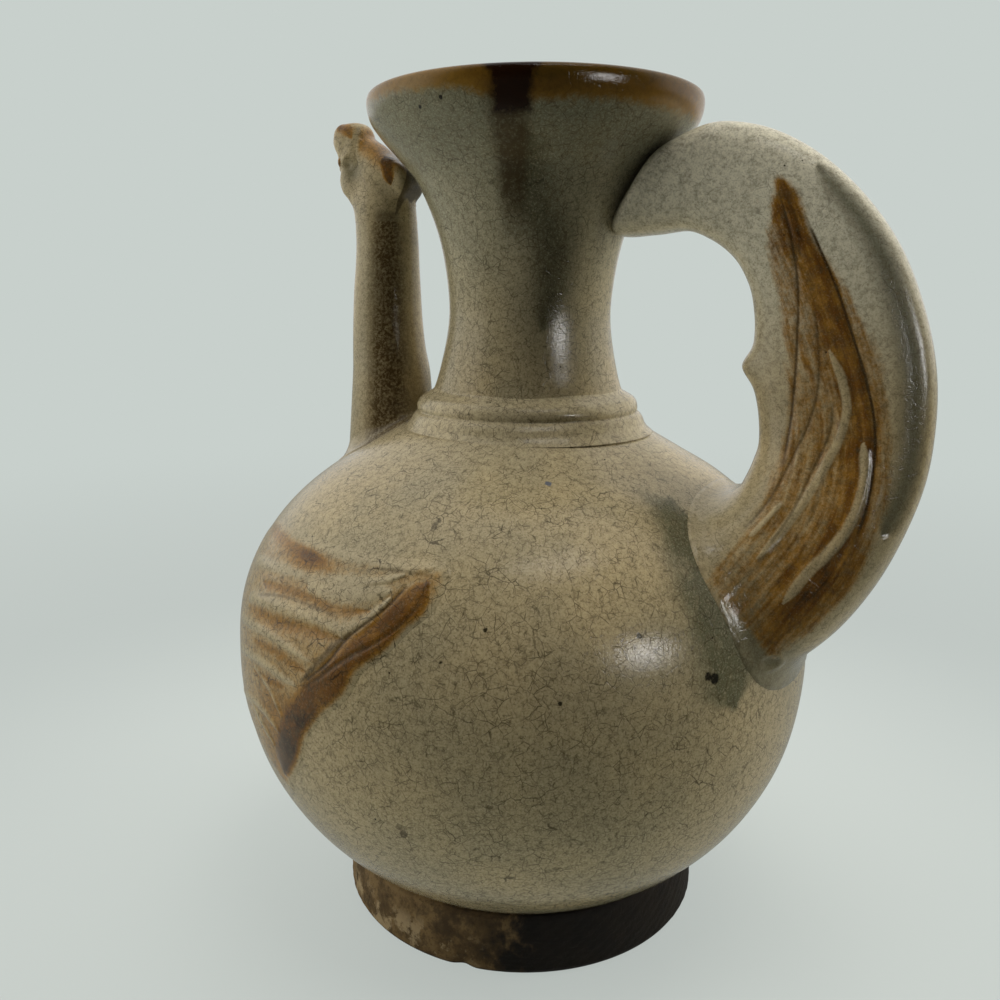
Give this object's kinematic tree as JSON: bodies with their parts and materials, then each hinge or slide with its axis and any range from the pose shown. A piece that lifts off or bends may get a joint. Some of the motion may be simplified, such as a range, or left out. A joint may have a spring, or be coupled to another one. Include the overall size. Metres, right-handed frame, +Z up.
{
  "type": "bird-shaped ewer",
  "caption": "Glazed stoneware ewer shaped as a bird: round belly on a foot ring, flared neck, bird-head pouring spout, relief wings and a tail that arches up as the handle.",
  "frame": {"origin": "middle of the bounding box, on the plane the foot ring stands on", "axes": "+Z up, the bird faces -X and its tail handle points to +X, +Y is the bird's right flank"},
  "size_m": [0.2032, 0.1716, 0.24],
  "materials": {
    "foot_ring": "bare rough stoneware",
    "belly": "semi-gloss crackled grey-beige glaze",
    "collar": "semi-gloss crackled grey-beige glaze",
    "neck_and_mouth": "semi-gloss crackled grey-green glaze",
    "spout_tube": "semi-gloss crackled beige glaze",
    "bird_head": "semi-gloss glaze with iron-brown spots",
    "crest": "semi-gloss iron-brown glaze",
    "eye_left": "semi-gloss iron-brown glaze",
    "eye_right": "semi-gloss iron-brown glaze",
    "wing_left": "semi-gloss glaze with iron-brown grooves",
    "wing_right": "semi-gloss glaze with iron-brown grooves",
    "tail_handle": "semi-gloss glaze with iron-brown feathers"
  },
  "bodies": {
    "root": {"foot_ring": "foot_ring", "belly": "belly", "collar": "collar", "neck_and_mouth": "neck_and_mouth", "spout_tube": "spout_tube", "bird_head": "bird_head", "crest": "crest", "eye_left": "eye_left", "eye_right": "eye_right", "wing_left": "wing_left", "wing_right": "wing_right", "tail_handle": "tail_handle"}
  },
  "joints": []
}
